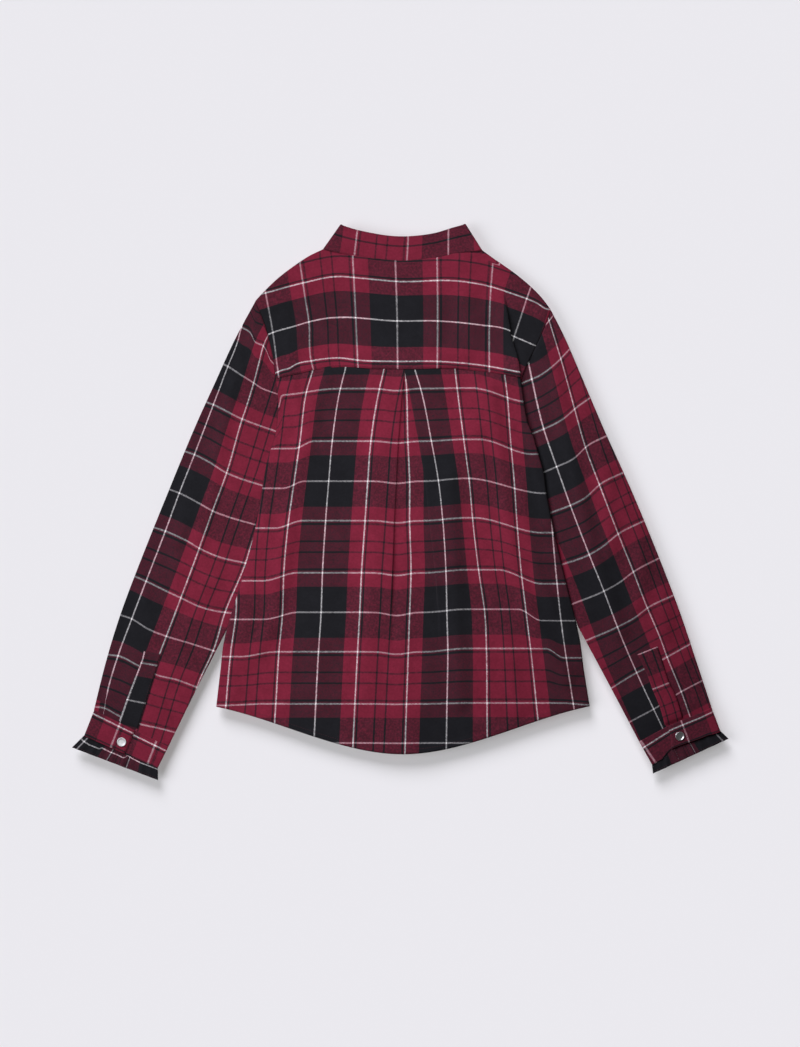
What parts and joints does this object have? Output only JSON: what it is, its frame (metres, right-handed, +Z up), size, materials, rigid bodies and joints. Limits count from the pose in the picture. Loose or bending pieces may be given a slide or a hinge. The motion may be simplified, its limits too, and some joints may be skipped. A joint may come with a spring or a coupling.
{
  "type": "flannel shirt laid flat",
  "caption": "Long-sleeved plaid flannel shirt laid face down, with a band collar, back yoke, box pleat, curved hem and frilled snap cuffs.",
  "frame": {"origin": "under the middle of the shirt's outline, on the surface it lies on", "axes": "+X across the shirt from cuff to cuff, +Y from the hem to the collar, +Z up out of the back, which faces up"},
  "size_m": [0.7384, 0.6258, 0.0106],
  "materials": {
    "flannel": "brushed cotton twill, red, black and white plaid",
    "flannel_dark": "brushed cotton twill, mostly the plaid's black band",
    "snap_metal": "polished pressed snap"
  },
  "bodies": {
    "root": {"back_panel": "flannel", "back_yoke": "flannel", "collar_band": "flannel", "front_left": "flannel", "front_right": "flannel", "front_placket": "flannel", "sleeve_left": "flannel", "sleeve_right": "flannel", "sleeve_placket_left": "flannel", "sleeve_placket_right": "flannel", "cuff_left": "flannel", "cuff_right": "flannel", "cuff_ruffle_left": "flannel_dark", "cuff_ruffle_right": "flannel_dark", "cuff_snap_left": "snap_metal", "cuff_snap_right": "snap_metal", "front_snap_1": "snap_metal", "front_snap_2": "snap_metal", "front_snap_3": "snap_metal", "front_snap_4": "snap_metal", "front_snap_5": "snap_metal", "front_snap_6": "snap_metal", "front_snap_7": "snap_metal"}
  },
  "joints": []
}
